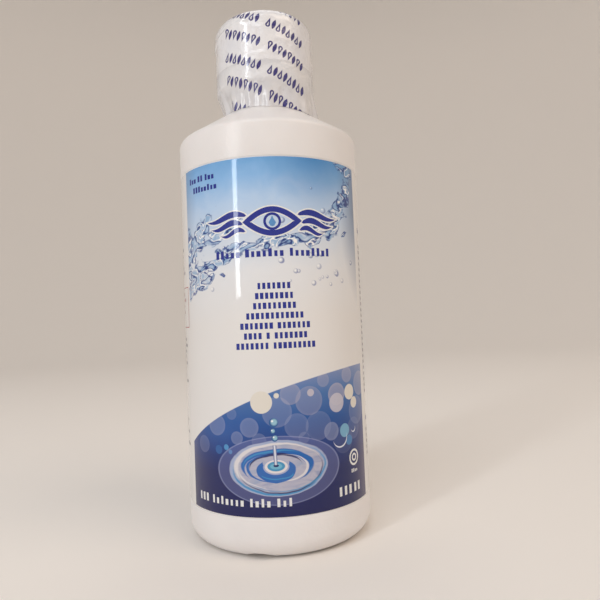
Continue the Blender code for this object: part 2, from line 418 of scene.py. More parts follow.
NAVY = rgb(42, 54, 146)
CREAM = rgb(226, 220, 210)
LABEL_WHITE = rgb(231, 228, 226)
GLINT = rgb(250, 250, 250)
LABEL_FINISH = {
    "Specular_IOR_Level": 0.12,
    "Coat_Weight": 0.8,
    "Coat_Roughness": 0.04,
    "Coat_IOR": 1.45,
}


def moulded_plastic(name, shade, roughness, subsurface, orange_peel):
    """Moulded white plastic: faint cloudiness, fine surface texture and a soft inner glow."""
    paint = Paint(name, roughness, Subsurface_Weight=subsurface, Subsurface_Scale=0.0015)
    paint.shader.inputs["Subsurface Radius"].default_value = (1.0, 0.8, 0.7)
    position = paint.solid_position()
    cloud = paint.noise(position, 90, 3)
    paint.over(None, shaded(shade, 0.955))
    paint.over(cloud.rises(0.3, 0.7), shade)
    fine = paint.noise(position, 1500, 2)
    broad = paint.noise(position, 130, 2)
    paint.set("Roughness", cloud.rises(0.2, 0.8) * 0.06 + (roughness - 0.03))
    paint.bump(fine * 0.35 + broad, orange_peel)
    return paint.done()


def paint_sky(paint, point, u, v, panel, flow):
    """Blue at the top, strongest right of the middle, fading to white lower down, and greyer at
    both sides: partly the print, partly painted shade.
    """
    fall = paint.stops(
        (v - u * 0.05 + flow * 5.0 - 2.5).rises(44.0, 82.0),
        [
            (0.00, LABEL_WHITE),
            (0.30, rgb(229, 230, 233)),
            (0.52, rgb(210, 220, 234)),
            (0.74, rgb(184, 209, 238)),
            (0.90, rgb(140, 186, 232)),
            (1.00, rgb(116, 170, 222)),
        ],
    )
    paint.over(panel, fall)
    corner = paint.stretched(point, (12, 85), (15, 17))
    paint.over(corner.rises(1.0, 0.1) * panel * 0.75, rgb(30, 116, 182))
    # Grey-blue towards both upper sides of the panel: partly the print's own tone, partly painted
    # shade where the bottle turns away.
    for centre, size, strength in (((28, 74), (10, 28), 0.9), ((-29, 76), (9, 20), 0.5)):
        side = paint.stretched(point, centre, size)
        paint.over(side.rises(1.0, 0.2) * panel * strength, rgb(92, 112, 146))


def paint_splash(paint, point, panel, flow):
    """Thin sheets and threads of water thrown across the sky, with drops round them."""
    reach = None
    for u, v, wide, high, angle in (
        (-23.4, 61.6, 2.6, 4.6, 12), (-20.3, 53.4, 5.6, 1.5, 8), (-16.5, 57.4, 8.6, 1.2, 13),
        (-19.3, 65.0, 5.0, 2.1, 47), (-11.4, 65.4, 5.4, 1.7, 24), (1.4, 62.0, 12.5, 1.3, 7),
        (11.2, 64.4, 4.4, 2.3, 38), (18.0, 69.4, 2.1, 4.8, -32), (21.8, 75.2, 1.9, 5.0, -12),
        (20.9, 80.6, 4.4, 1.3, -24), (-24.4, 56.0, 1.2, 5.0, 0),
    ):
        ribbon = paint.stretched(point, (u, v), (wide, high), angle)
        reach = ribbon if reach is None else reach.math("MINIMUM", ribbon)
    ragged = paint.noise(point, 0.3, 2, 0.6, 0.4)
    reach = reach + (ragged - 0.5) * 2.6 + (flow - 0.5) * 0.6
    sheet = reach.rises(1.2, 0.85) * panel
    tilted = paint.mapped(point, (0, 0), (1.7, 1.0), 17)
    threads = paint.noise(tilted, 0.36, 2, 1.0, 0.35)
    blotches = paint.noise(tilted, 0.5, 2, 1.6, 0.4)
    paint.over(sheet * blotches.rises(0.62, 0.4) * 0.75, rgb(128, 168, 208))
    near = abs(threads - 0.5)
    paint.over(near.rises(0.1, 0.01) * sheet * 0.7, rgb(84, 130, 186))
    paint.over((blotches - 0.6).rises(0.0, 0.05) * sheet * 0.85, rgb(38, 70, 142))
    paint.over(near.rises(0.032, 0.012) * sheet * 0.95, rgb(30, 54, 124))
    paint.over(abs(threads - 0.57).rises(0.025, 0.006) * sheet * 0.95, rgb(250, 248, 246))
    edge = abs(reach - 1.02).rises(0.11, 0.03) * panel
    paint.over(edge * blotches.rises(0.42, 0.5) * 0.8, rgb(44, 78, 148))

    # Droplets: a rim that is thickest below and to the right, a pale middle and a bright spot.
    spray = random.Random(7)
    for middle_u, middle_v, spread_u, spread_v, count in (
        (-20, 60, 5, 9, 9), (10, 56, 9, 4, 10), (17.5, 56, 6, 4, 8),
        (15, 74, 7, 6, 5), (-3, 63, 9, 4, 5),
    ):
        for _ in range(count):
            u = middle_u + spray.uniform(-1, 1) * spread_u
            v = middle_v + spray.uniform(-1, 1) * spread_v
            radius = spray.uniform(0.3, 0.8) * spray.uniform(0.6, 1.0)
            away = paint.distance(point, (u, v)) + (ragged - 0.5) * 0.5
            shifted = paint.distance(point, (u - radius * 0.3, v + radius * 0.26))
            outer = away.rises(radius + 0.16, radius - 0.02)
            rim = outer * shifted.rises(radius * 0.62, radius * 1.05)
            paint.over(rim * panel * spray.uniform(0.35, 0.8), rgb(84, 100, 158))
            spot = paint.distance(point, (u - radius * 0.3, v + radius * 0.3))
            paint.over(spot.rises(radius * 0.4, radius * 0.15) * panel, GLINT)


def paint_lights(paint, point, panel, field):
    """Soft out-of-focus discs of light, and a few solid ones."""
    for u, v, radius, strength in (
        (-15.3, 20.4, 2.5, 0.34), (-6.7, 20.0, 2.2, 0.36), (-9.8, 17.6, 1.5, 0.34),
        (-0.2, 23.3, 3.4, 0.30), (4.2, 20.0, 2.8, 0.24), (9.6, 19.5, 3.3, 0.20),
        (13.0, 17.8, 2.1, 0.44), (15.0, 26.2, 2.6, 0.44), (3.0, 27.2, 2.4, 0.28),
        (7.4, 25.4, 3.3, 0.22), (22.5, 21.5, 3.4, 0.24), (18.8, 30.4, 1.9, 0.30),
        (24.6, 27.8, 3.0, 0.30), (16.8, 15.4, 3.3, 0.10), (-4.5, 17.0, 1.7, 0.22),
        (-20.0, 15.5, 2.0, 0.20), (11.2, 29.8, 1.6, 0.22), (20.8, 17.4, 2.6, 0.16),
        (-11.0, 23.0, 1.3, 0.20), (5.8, 17.2, 1.3, 0.20),
    ):
        away = paint.distance(point, (u, v))
        rim = away.rises(radius - 0.7, radius) * 0.25 + 0.75
        mask = away.rises(radius + 0.06, radius - 0.06) * field * rim
        if v > 24:
            paint.over(mask * (strength * 1.2), rgb(198, 188, 198))
        else:
            paint.over(mask * (strength * 1.15), rgb(158, 166, 198))
    for u, v, radius, strength, colour in (
        (-3.7, 25.6, 2.5, 1.0, CREAM), (-0.2, 27.0, 0.6, 1.0, CREAM),
        (7.8, 27.2, 0.85, 0.8, rgb(204, 196, 204)), (14.9, 24.2, 2.25, 0.85, rgb(200, 196, 208)),
        (19.5, 26.2, 1.85, 1.0, CREAM), (21.3, 23.5, 1.35, 1.0, CREAM),
        (17.2, 17.4, 1.6, 0.95, rgb(122, 176, 208)), (18.7, 14.9, 1.2, 0.9, rgb(74, 132, 188)),
        (-12.7, 15.4, 0.65, 1.0, rgb(80, 146, 200)), (-14.9, 14.7, 1.0, 0.9, rgb(46, 98, 164)),
        (-11.6, 14.4, 0.5, 0.9, rgb(80, 146, 204)),
    ):
        paint.over(paint.disc(point, (u, v), radius, 0.05) * panel * strength, colour)
    # Two thin bright arcs, each a disc with a shifted disc taken out.
    for u, v, radius, shift in ((15.6, 15.9, 2.3, 0.34), (20.6, 17.3, 0.9, 0.28)):
        outer = paint.disc(point, (u, v), radius, 0.05)
        inner = paint.distance(point, (u - 0.1, v + shift)).rises(radius - 0.05, radius + 0.05)
        paint.over(outer * inner * field * 0.95, rgb(232, 236, 244))


def paint_ripples(paint, point, u, v, field):
    """A falling drop's ripples seen at a slant, with the jet and three drops over the middle."""
    # The point, pushed about a little, so that the ripples aren't true ellipses.
    bend = paint.vector("MULTIPLY_ADD", point, (1, 1, 0))
    curl = paint.node("TexNoise", Scale=0.22, Detail=2.0, Vector=point)
    shifted = paint.vector("SUBTRACT", curl.outputs["Color"], (0.5, 0.5, 0.5))
    scaled = paint.vector("MULTIPLY", shifted.outputs[0], (1.1, 0.7, 0))
    feed(paint.tree, scaled.outputs[0], bend.inputs[2])
    bent = bend.outputs[0]

    pool = paint.stretched(point, (-0.2, 10.3), (15.1, 7.7))
    paint.over(pool.rises(1.004, 0.99) * field * 0.36, rgb(120, 126, 178))
    paint.over(abs(pool - 0.985).rises(0.02, 0.008) * field * 0.3, rgb(176, 184, 222))
    streaks = paint.noise(paint.mapped(point, (0, 0), (3.2, 1.0)), 0.5, 3, 1.0)
    cup = paint.stretched(bent, (-0.3, 10.75), (11.7, 6.25))
    body = paint.stops(
        streaks,
        [(0.3, rgb(148, 156, 190)), (0.5, rgb(186, 184, 200)), (0.68, rgb(158, 168, 196))],
    )
    paint.over(cup.rises(1.01, 0.985) * field, body)
    paint.over(abs(cup - 0.95).rises(0.06, 0.02) * field * 0.7, rgb(156, 174, 212))

    blue = rgb(22, 98, 178)
    teal = rgb(62, 142, 196)
    navy = rgb(26, 34, 96)
    pale = rgb(224, 220, 222)
    for outer, inner, colour in (
        ((-0.5, 11.3, 10.3, 5.15), (0.1, 11.05, 9.85, 4.95), pale),
        ((-0.3, 10.4, 10.7, 5.7), (-0.1, 10.95, 10.8, 5.8), teal),
        ((0.2, 10.5, 9.9, 5.4), (0.0, 10.85, 9.9, 5.45), navy),
        ((0.6, 10.9, 10.3, 5.3), (0.25, 11.05, 10.25, 5.3), teal),
        ((-0.6, 11.3, 8.5, 3.9), (-0.9, 10.6, 7.3, 3.5), blue),
        ((-0.5, 11.35, 8.0, 3.6), (-0.6, 11.0, 7.9, 3.55), teal),
        ((0.9, 11.7, 6.9, 2.9), (-0.6, 10.8, 6.9, 3.3), blue),
        ((-0.8, 11.0, 6.1, 3.35), (-0.6, 10.45, 6.3, 3.35), navy),
        ((-0.9, 10.9, 6.9, 3.2), (-0.3, 10.95, 6.7, 3.2), blue),
        ((1.2, 10.9, 5.6, 3.0), (0.8, 11.0, 5.4, 2.9), pale),
        ((-0.8, 10.35, 4.4, 2.75), (-0.8, 12.3, 3.0, 1.7), blue),
        ((-0.6, 9.4, 3.6, 1.1), (-0.7, 9.65, 3.6, 1.1), teal),
    ):
        paint.over(paint.crescent(bent, outer, inner) * field * 0.95, colour)
    for centre_v, size, colour in (
        (11.15, (2.95, 1.75), rgb(168, 176, 206)),
        (11.22, (2.6, 1.5), rgb(228, 220, 222)),
        (11.28, (2.0, 1.1), rgb(70, 148, 192)),
        (11.3, (1.35, 0.68), rgb(112, 180, 208)),
        (11.42, (0.62, 0.3), navy),
    ):
        paint.over(paint.stretched(point, (-0.8, centre_v), size).rises(1.03, 0.97), colour)

    # The jet, leaning a little, and the drops above it.
    across = abs(u + 0.95 + (v - 14.0) * 0.04)
    height = v.rises(11.5, 11.7) * v.rises(16.1, 15.8)
    paint.over(across.rises(0.44, 0.36) * height, rgb(96, 112, 160))
    paint.over(across.rises(0.3, 0.1) * height, rgb(222, 224, 234))
    for at_u, at_v, radius in ((-1.05, 21.0, 1.05), (-1.3, 19.1, 0.58), (-0.9, 17.5, 0.74)):
        paint.over(paint.disc(point, (at_u, at_v), radius, 0.04), rgb(40, 92, 150))
        inner = paint.distance(point, (at_u + 0.1 * radius, at_v + 0.12 * radius))
        paint.over(inner.rises(radius * 0.86, radius * 0.5), rgb(150, 194, 212))
        glint = paint.distance(point, (at_u - 0.3 * radius, at_v + 0.35 * radius))
        paint.over(glint.rises(radius * 0.32, radius * 0.14), GLINT)


def label_material():
    """Printed label: sky and water above, white in the middle, deep blue with ripples below."""
    paint = Paint("label_film", 0.3, **LABEL_FINISH)
    point, u, v = paint.surface()
    flow = paint.noise(point, 0.16, 4, 1.0, 0.5)
    grain = paint.noise(point, 9.0, 2)
    panel = abs(u - 0.5).rises(25.9, 25.8)
    paint.over(None, LABEL_WHITE)
    paint_sky(paint, point, u, v, panel, flow)
    paint_splash(paint, point, panel, flow)

    # Deep blue field under a rising curve.
    field = paint.distance(point, (27.0, -56.0)).rises(88.55, 88.4) * panel
    depth = paint.stops(
        v * (1 / 34),
        [
            (0.00, rgb(22, 26, 84)),
            (0.28, rgb(22, 32, 94)),
            (0.47, rgb(22, 56, 128)),
            (0.62, rgb(30, 82, 154)),
            (0.80, rgb(72, 114, 174)),
            (0.96, rgb(130, 146, 188)),
        ],
    )
    paint.over(field, depth)
    plum = paint.stretched(point, (28, 6), (8, 26))
    paint.over(plum.rises(1.0, 0.1) * field * 0.6, rgb(74, 44, 92))
    haze = paint.stretched(point, (-14, 19), (10, 6))
    paint.over(haze.rises(1.0, 0.0) * field * 0.5, rgb(58, 104, 176))
    paint_lights(paint, point, panel, field)
    paint_ripples(paint, point, u, v, field)
    paint.set("Roughness", grain.rises(0.2, 0.8) * 0.08 + 0.26)
    paint.bump(paint.noise(point, 0.05, 2) + grain * 0.008, 0.0005, 0.2)
    return paint.done()


def print_material(name, colour):
    """Ink on the label, with faint unevenness."""
    paint = Paint(name, 0.3, **LABEL_FINISH)
    mottle = paint.noise(paint.solid_position(), 2500, 3)
    paint.over(None, shaded(colour, 0.9))
    paint.over(mottle.rises(0.35, 0.65), colour)
    return paint.done()


def film_material(name, clearness):
    """Clear glossy shrink film with sloping rows of small navy drops and lenses.

    Every other row is upside down. A row is cut into words, and a word into glyphs.
    """
    row_height = 5.57
    row_shift = 2.35
    word = 12.9
    glyph = 1.4
    paint = Paint(name, 0.2, Coat_Weight=1.0, Coat_Roughness=0.11)
    point, u, v = paint.surface()
    slope = radians(23)
    along = u * cos(slope) + v * sin(slope)
    across = v * cos(slope) - u * sin(slope)
    rows = across * (1 / row_height) + 0.32
    row = rows.floor()
    flip = row.odd() * 4.0 - 1.0
    y = (rows - row - 0.5) * flip * -row_height
    words = (along - row * row_shift - 1.3) * (1 / word)
    column = words.floor()
    in_word = (words - column) * word
    # Words stand in pairs, with a blank beside each pair and at the back.
    place_in_row = abs(column + 0.5)
    printed = abs(place_in_row - 1.5).rises(0.3, 0.7) * place_in_row.rises(3.2, 2.8)
    cells = in_word * (1 / glyph)
    cell = cells.floor()
    x = (cells - cell - 0.5) * glyph * flip
    side = abs(x)
    centred = paint.node("CombineXYZ", X=x, Y=y).outputs[0]

    def drop(size, low, slant):
        ball = paint.distance(centred, (0.0, low + size)).rises(size + 0.03, size - 0.05)
        cone = ((y - low - size) * -slant + size * 0.96 - side).rises(-0.04, 0.04)
        return ball.math("MAXIMUM", cone * y.rises(low + size, low + size + 0.1))

    outline = drop(0.63, -1.3, 0.31) * (drop(0.22, -0.94, 0.22) * -1.0 + 1.0)
    lens = ((y * y) * -0.28 + 0.5 - side).rises(-0.04, 0.04)
    ink = outline + (lens - outline) * cell.odd().rises(0.2, 0.3)
    ink = ink * printed * in_word.rises(11.25, 11.15) * abs(y).rises(1.34, 1.28)
    worn = paint.noise(point, 2.2, 3)
    ink = ink * (worn.rises(0.25, 0.4) * 0.25 + 0.75)
    cloud = paint.noise(point, 0.12, 2)
    paint.over(None, rgb(246, 246, 252))
    paint.over(cloud.rises(0.3, 0.7), rgb(252, 250, 251))
    paint.over(ink, rgb(50, 46, 118))
    haze = cloud.rises(0.3, 0.7) * 0.08 + clearness
    paint.set("Alpha", haze.math("MAXIMUM", ink))
    wrinkle = paint.noise(point, 0.3, 2, 0.6)
    dimple = paint.noise(point, 1.3, 2, 0.3)
    patches = paint.noise(point, 0.22, 1).rises(0.45, 0.6)
    paint.bump(wrinkle + dimple * (patches * 0.3 + 0.06), 0.0009, 0.5)
    return paint.done()


def liquid_material():
    """Clear solution."""
    paint = Paint("solution_clear", 0.03, IOR=1.33, Transmission_Weight=0.9)
    tint = paint.noise(paint.solid_position(), 40, 2)
    paint.over(None, rgb(224, 240, 250))
    paint.over(tint.rises(0.3, 0.7), rgb(236, 246, 252))
    return paint.done()


def foam_material():
    """White foam with fine cells."""
    paint = Paint("washer_foam", 0.65)
    cells = paint.noise(paint.solid_position(), 3000, 4)
    paint.over(None, rgb(226, 226, 222))
    paint.over(cells.rises(0.3, 0.7), rgb(242, 242, 240))
    paint.bump(cells, 0.0001, 0.6)
    return paint.done()


# ---------------------------------------------------------------- pieces


def make_bottle(material):
    """The bottle's inside and outside, with its thread and a small notch in the heel."""
    normal = 90 - degrees(SHOULDER_SLOPE)
    rounding = 1.5
    root = NECK + rounding
    touch = root - rounding * cos(radians(normal))
    root_height = shoulder_height(touch) + rounding * sin(radians(normal))
    edge_drop = rounding * tan(radians(normal / 2))
    panel = LABEL - 0.12
    ring = BODY - HEEL
    wall = panel - WALL
    drop = WALL / cos(SHOULDER_SLOPE)
    neck_foot = (NECK_BORE, shoulder_height(NECK_BORE) - drop)
    profile = [neck_foot, (NECK_BORE, NECK_TOP - 0.35)]
    profile += arc((NECK_BORE + 0.35, NECK_TOP - 0.35), 0.35, 180, 90, 4)
    profile += arc((NECK - 0.4, NECK_TOP - 0.4), 0.4, 90, 0, 4)
    profile.append((NECK, BEAD_HEIGHT + 1.1))
    profile += arc((BEAD - 0.3, BEAD_HEIGHT + 0.45), 0.3, 70, 0, 4)
    profile += arc((BEAD - 0.3, BEAD_HEIGHT - 0.45), 0.3, 0, -70, 4)
    profile.append((NECK, BEAD_HEIGHT - 1.1))
    profile += arc((root, root_height), rounding, 180, 180 + normal, 6)
    profile += arc((BODY - rounding, SHOULDER_EDGE - edge_drop), rounding, normal, 0, 8)
    # The label's panel is a little sunk, with a step at both ends.
    step = [(BODY, 0.5), (BODY - 0.04, 0.35), (panel, 0.25)]
    profile += [(radius, LABEL_HIGH + away) for radius, away in step]
    profile += [(radius, LABEL_LOW - away) for radius, away in reversed(step)]
    profile += arc((ring, HEEL), HEEL, 0, -90, 20)
    profile += arc((ring - 1.5, 1.8), 1.8, -90, -180, 8)
    profile += [(13.0, 2.05), (9.0, 2.4), (4.0, 2.6), (1e-3, 2.62)]
    notch_turn = radians(-14)
    notch_radius = 6.0
    notch_centre = -4.6
    notch_start = 16.3

    def shape(angle, radius, height):
        across = radius * sin(angle - notch_turn)
        in_front = abs(across) < 5 and cos(angle - notch_turn) > 0
        if height < 4 and radius > notch_start and in_front:
            top = notch_centre + sqrt(notch_radius**2 - across**2)
            fade = ramp(radius, notch_start, notch_start + 0.6)
            height = max(height, height + (top - height) * fade)
        return radius, height

    builder = Builder().turned(profile, 320, shape)
    inside = [(0.0, 3.9), (15.6, 3.1), (17.8, 1.3), (wall, 5.1)]
    inside += [(wall, shoulder_height(wall) - drop), neck_foot]
    builder.turned(inside, 96)
    builder.ridge(NECK - 0.1, NECK + 0.95, THREAD_START, pi / 2, THREAD_TURNS)
    builder.finish("bottle_shell", "bottle_body", "bottle", [material])


def on_label(u, v, lift):
    return place(u / LABEL, LABEL + lift, LABEL_LOW + v)


def make_label(material):
    """Label sleeve, with its two ends a little apart at the back."""
    builder = Builder()
    seam = 0.75 / LABEL
    segments = 288
    height = LABEL_HIGH - LABEL_LOW
    outline = [(-0.14, height), (-0.03, height), (0.0, height - 0.05), (0.0, height - 0.15)]
    outline += [(0.0, height * part / 8) for part in range(7, 0, -1)]
    outline += [(0.0, 0.15), (0.0, 0.05), (-0.03, 0.0), (-0.14, 0.0)]
    rows = []
    for lift, v in outline:
        row = []
        for column in range(segments + 1):
            angle = -pi + seam + (tau - 2 * seam) * column / segments
            u = angle * LABEL
            row.append(builder.add(on_label(u, v, lift), (u, v)))
        rows.append(row)
    for upper, lower in zip(rows, rows[1:] + rows[:1]):
        for column in range(segments):
            builder.face([upper[column], lower[column], lower[column + 1], upper[column + 1]])
    for column in (0, segments):
        corners = [row[column] for row in rows]
        builder.face(corners if column else corners[::-1])
    builder.finish("label_sleeve", "bottle_body", "wrap_label", [material])


# Heights of the ink above the label. Shapes that overlap lie on different heights.
INK_LIFT = 0.02
UPPER_LIFT = 0.035
TOP_LIFT = 0.04
SMALL_TEXT = 0.85
NAVY_INK, WHITE_INK, RED_INK, SKY_INK, GREY_INK = range(5)


class Press:
    """Prints flat shapes on the label, just above its surface."""

    def __init__(self):
        self.builder = Builder()

    def strip(self, u0, u1, low, high, ink, lift=INK_LIFT):
        """The area between low(u) and high(u), cut into narrow columns that follow the curve."""
        columns = max(1, ceil((u1 - u0) / 0.45))
        before = None
        for column in range(columns + 1):
            u = u0 + (u1 - u0) * column / columns
            bottom = low(u) if callable(low) else low
            top = high(u) if callable(high) else high
            pair = (
                self.builder.add(on_label(u, bottom, lift), (u, bottom)),
                self.builder.add(on_label(u, max(top, bottom + 0.002), lift), (u, top)),
            )
            if before:
                self.builder.face([before[0], pair[0], pair[1], before[1]], ink)
            before = pair

    def disc(self, u, v, radius, ink, lift=INK_LIFT):
        def half(at):
            return sqrt(max(0.0, radius**2 - (at - u) ** 2))

        self.strip(u - radius, u + radius, lambda a: v - half(a), lambda a: v + half(a), ink, lift)

    def words(
        self, u, v, height, counts, ink,
        centred=False, gap=0.5, capitals=False, pitch=0.8, weight=1.0,
    ):
        """A line of text as plain blocks: one block a letter, with a wider gap between words."""
        step = height * pitch
        width = sum(counts) * step + (len(counts) - 1) * height * gap
        at = u - width / 2 if centred else u
        chooser = random.Random(int(abs(u * 31 + v * 17 + height * 7) * 10) + len(counts))
        for count in counts:
            for letter in range(count):
                tall = capitals or letter == 0 or chooser.random() < 0.3
                wide = step * weight * chooser.choice((0.54, 0.62, 0.7))
                start = at + (step - wide) / 2
                self.strip(start, start + wide, v, v + height * (1.0 if tall else 0.72), ink)
                at += step
            at += height * gap
        return width

    def ring(self, u, v, outer, inner, ink, lift=INK_LIFT):
        before = None
        for step in range(49):
            angle = tau * step / 48
            pair = []
            for r in (inner, outer):
                at = on_label(u + r * cos(angle), v + r * sin(angle), lift)
                pair.append(self.builder.add(at, (u, v)))
            if before:
                self.builder.face([before[0], before[1], pair[1], pair[0]], ink)
            before = pair

    def frame(self, u0, u1, v0, v1, thickness, ink):
        self.strip(u0, u1, v0, v0 + thickness, ink)
        self.strip(u0, u1, v1 - thickness, v1, ink)
        self.strip(u0, u0 + thickness, v0, v1, ink)
        self.strip(u1 - thickness, u1, v0, v1, ink)


def emblem(press, centre_u, centre_v, height, half_width):
    """A lens shape with a drop in it, between three waves on each side, navy with a white edge."""
    half = height / 2
    reach = height * 1.02
    edge = 0.32

    def curve(at, wide, rise):
        return rise * (1 - min(1.0, abs(at - centre_u) / wide) ** 1.9)

    def eyelid(sign, grow):
        def outer(at):
            return centre_v + sign * curve(at, reach + grow * 2, half + grow)

        def inner(at):
            return centre_v + sign * max(0.0, curve(at, reach - 2.0 - grow, half - 1.3 - grow))

        return (inner, outer) if sign > 0 else (outer, inner)

    def wave(side, middle, thick, near, far, grow, ink, lift):
        def along(at):
            return min(1.0, max(0.0, (abs(at - centre_u) - near) / (far - near)))

        def centre(at):
            t = along(at)
            return centre_v + middle + 0.62 * sin(tau * t * 0.95) - 0.3 * t

        def body(at):
            t = along(at)
            if 0 < t < 0.96:
                return thick * sin(pi * min(1.0, t + 0.04) ** 0.8) ** 0.75 + grow
            return grow * 0.7

        ends = sorted((centre_u + side * (near - grow), centre_u + side * (far + grow)))
        press.strip(*ends, lambda a: centre(a) - body(a), lambda a: centre(a) + body(a), ink, lift)

    for grow, overhang, ink, lift in (
        (edge, 0.6, WHITE_INK, INK_LIFT),
        (0.0, 0.0, NAVY_INK, UPPER_LIFT),
    ):
        for side in (-1, 1):
            for middle, thick, inset, outset in (
                (1.5, 0.74, 0.0, 0.0), (-0.4, 0.72, 0.9, 1.4), (-2.15, 0.6, 0.3, 4.2),
            ):
                near = reach * 0.86 + inset
                wave(side, middle, thick, near, half_width - outset, grow, ink, lift)
        wide = reach + overhang
        for sign in (1, -1):
            press.strip(centre_u - wide, centre_u + wide, *eyelid(sign, grow), ink, lift)

    press.ring(centre_u, centre_v - 0.05, 2.05, 1.45, NAVY_INK, UPPER_LIFT)
    press.disc(centre_u, centre_v - 0.35, 0.85, SKY_INK, TOP_LIFT)
    foot = centre_v - 0.2
    point = 0.78

    def drop_top(at):
        return foot + max(0.0, 1.35 * (1 - abs(at - centre_u) / point)) ** 1.25

    press.strip(centre_u - point, centre_u + point, foot, drop_top, SKY_INK, TOP_LIFT)


def make_print(materials):
    """Everything printed on the label in solid ink."""
    press = Press()
    emblem(press, 0.4, 66.7, 6.8, 16.9)
    press.words(-23.2, 78.0, 1.45, (3, 2, 3), NAVY_INK, gap=0.35, pitch=0.74, weight=1.1)
    press.words(-21.5, 75.5, 1.45, (8,), NAVY_INK, pitch=0.74, weight=1.1)
    press.words(0.3, 58.6, 1.85, (5, 7, 8), NAVY_INK, centred=True, pitch=0.72)
    lines = ((7,), (8,), (9,), (12,), (7, 7), (4, 1, 7), (7, 9))
    for index, counts in enumerate(lines):
        press.words(0.2, 51.2 - 2.27 * index, 1.42, counts, NAVY_INK, centred=True, capitals=True)
    press.words(-22.6, 2.3, 1.85, (3, 7, 4, 3), WHITE_INK, pitch=0.72, weight=0.8)
    press.words(14.2, 2.4, 2.1, (3, 2), WHITE_INK, gap=0.15, weight=0.75)
    # A plain mark of rings above the lower right corner.
    press.ring(20.4, 10.5, 1.95, 1.45, WHITE_INK)
    press.ring(20.4, 10.5, 0.95, 0.5, WHITE_INK)
    press.words(19.0, 7.0, 0.85, (4,), WHITE_INK)
    back_panels(press)
    press.builder.finish("label_print", "bottle_body", "wrap_label", materials, False, 30)


def paragraph(press, u0, u1, top, count, ink, seed):
    """Lines of small text, ragged at the right."""
    chooser = random.Random(seed)
    for index in range(count):
        v = top - index * SMALL_TEXT * 1.75
        end = u1 - chooser.uniform(0, 3) if index < count - 1 else u0 + (u1 - u0) * 0.55
        at = u0
        while at < end - 1:
            letters = chooser.randint(2, 9)
            letters = min(letters, max(1, int((end - at) / (SMALL_TEXT * 0.82))))
            at += press.words(at, v, SMALL_TEXT, (letters,), ink) + SMALL_TEXT * 0.7


def back_panels(press):
    """Left, right and back of the label: headings, paragraphs, a boxed note and a bar code."""
    seam = pi * LABEL
    left, right = 50.0, seam - 2.0
    back_left, back_right = 2.5 - seam, -49.5
    for u, v, height, counts in (
        (29.4, 66.0, 1.3, (8, 4)), (29.4, 17.8, 1.1, (6,)), (-46.0, 66.0, 1.3, (9,)),
        (-46.0, 22.5, 1.1, (5, 6)), (left, 74.0, 1.6, (6, 5)), (left, 45.0, 1.2, (7,)),
        (back_left, 74.0, 1.6, (7, 6)),
    ):
        press.words(u, v, height, counts, NAVY_INK)
    for u0, u1, top, count, seed in (
        (29.4, 46.5, 62.0, 26, 3), (29.4, 46.5, 15.0, 5, 4), (-46.0, -28.0, 62.6, 6, 5),
        (-46.0, -28.0, 39.8, 9, 8), (-46.0, -28.0, 19.6, 6, 9), (left, right, 69.5, 14, 12),
        (left, right, 42.4, 8, 13), (back_left, back_right, 69.5, 20, 14),
    ):
        paragraph(press, u0, u1, top, count, GREY_INK, seed)
    press.frame(-46.6, -26.3, 43.1, 53.3, 0.22, RED_INK)
    paragraph(press, -45.6, -27.4, 51.2, 5, RED_INK, 6)
    press.strip(left, right, 72.4, 72.6, SKY_INK)
    press.strip(back_left, back_right, 72.4, 72.6, SKY_INK)

    chooser = random.Random(11)
    at = left + 0.5
    while at < right - 1.5:
        wide = chooser.choice((0.25, 0.25, 0.5, 0.75))
        press.strip(at, at + wide, 12.0, 22.0, GREY_INK)
        at += wide + chooser.choice((0.25, 0.5, 0.5, 0.75))
    press.words(left + 1, 10.2, 0.9, (6, 6), GREY_INK, gap=1.5)

    # Three round signs, each with its own few lines.
    for step in range(3):
        v = 28.0 - step * 7.5
        u = -seam + 5.3
        press.disc(u, v, 2.4, SKY_INK)
        press.disc(u, v, 2.0, WHITE_INK, INK_LIFT + 0.005)
        press.disc(u, v - 0.3, 0.9, NAVY_INK, INK_LIFT + 0.01)
        paragraph(press, u + 3.6, back_right, v + 1.6, 3, GREY_INK, 20 + step)


def flattened(angle, radius):
    """The radius with the closure's back cut flat for the hinge."""
    back = -cos(angle)
    if back > 0.2 and radius > LID_INNER:
        return min(radius, HINGE_FLAT / back)
    return radius


def make_collar(material):
    """The screwed lower half of the closure, with a thumb scoop in the front of its rim."""
    rim = LID_LOW - 0.3
    deck = DECK_TOP - 1.0
    hole = 4.1
    spigot = 11.45
    profile = [(hole, DECK_TOP - 0.15), (hole + 0.15, DECK_TOP)]
    profile += arc((10.8, DECK_TOP - 0.3), 0.3, 90, 10, 4)
    profile += [(spigot, 122.0), (spigot, rim + 0.12)]
    profile += arc((spigot + 0.12, rim + 0.12), 0.12, 180, 270, 3)
    profile += arc((COLLAR - 0.22, rim - 0.22), 0.22, 90, 0, 4)
    profile += arc((COLLAR - 0.3, COLLAR_LOW + 0.3), 0.3, 0, -90, 4)
    profile += arc((COLLAR_BORE + 0.3, COLLAR_LOW + 0.3), 0.3, -90, -180, 4)
    profile += [(COLLAR_BORE, deck), (hole, deck)]

    def shape(angle, radius, height):
        if height > COLLAR_LOW + 1.6:
            radius = flattened(angle, radius)
        scoop = 1 - ramp(abs(angle) * COLLAR, 3.2, 4.8)
        if scoop > 0 and radius > 11.6 and height > rim - 2.2:
            radius -= 0.8 * scoop * ramp(height, rim - 2.1, rim)
        return radius, height

    builder = Builder()
    refined = []
    for first, second in zip(profile, profile[1:]):
        steps = max(1, int(dist(first, second) / 0.5))
        refined += line(first, second, steps)
    refined.append(profile[-1])
    builder.turned(refined, 192, shape, loop=True)
    # The collar's thread lies half a pitch below the neck's, this part of a turn further on.
    turn = 0.375
    start = THREAD_START + THREAD_PITCH * (turn - 0.5)
    builder.ridge(COLLAR_BORE + 0.1, COLLAR_BORE - 0.95, start, pi / 2 + tau * turn, THREAD_TURNS)
    builder.finish("collar_shell", "collar", "closure_collar", [material])


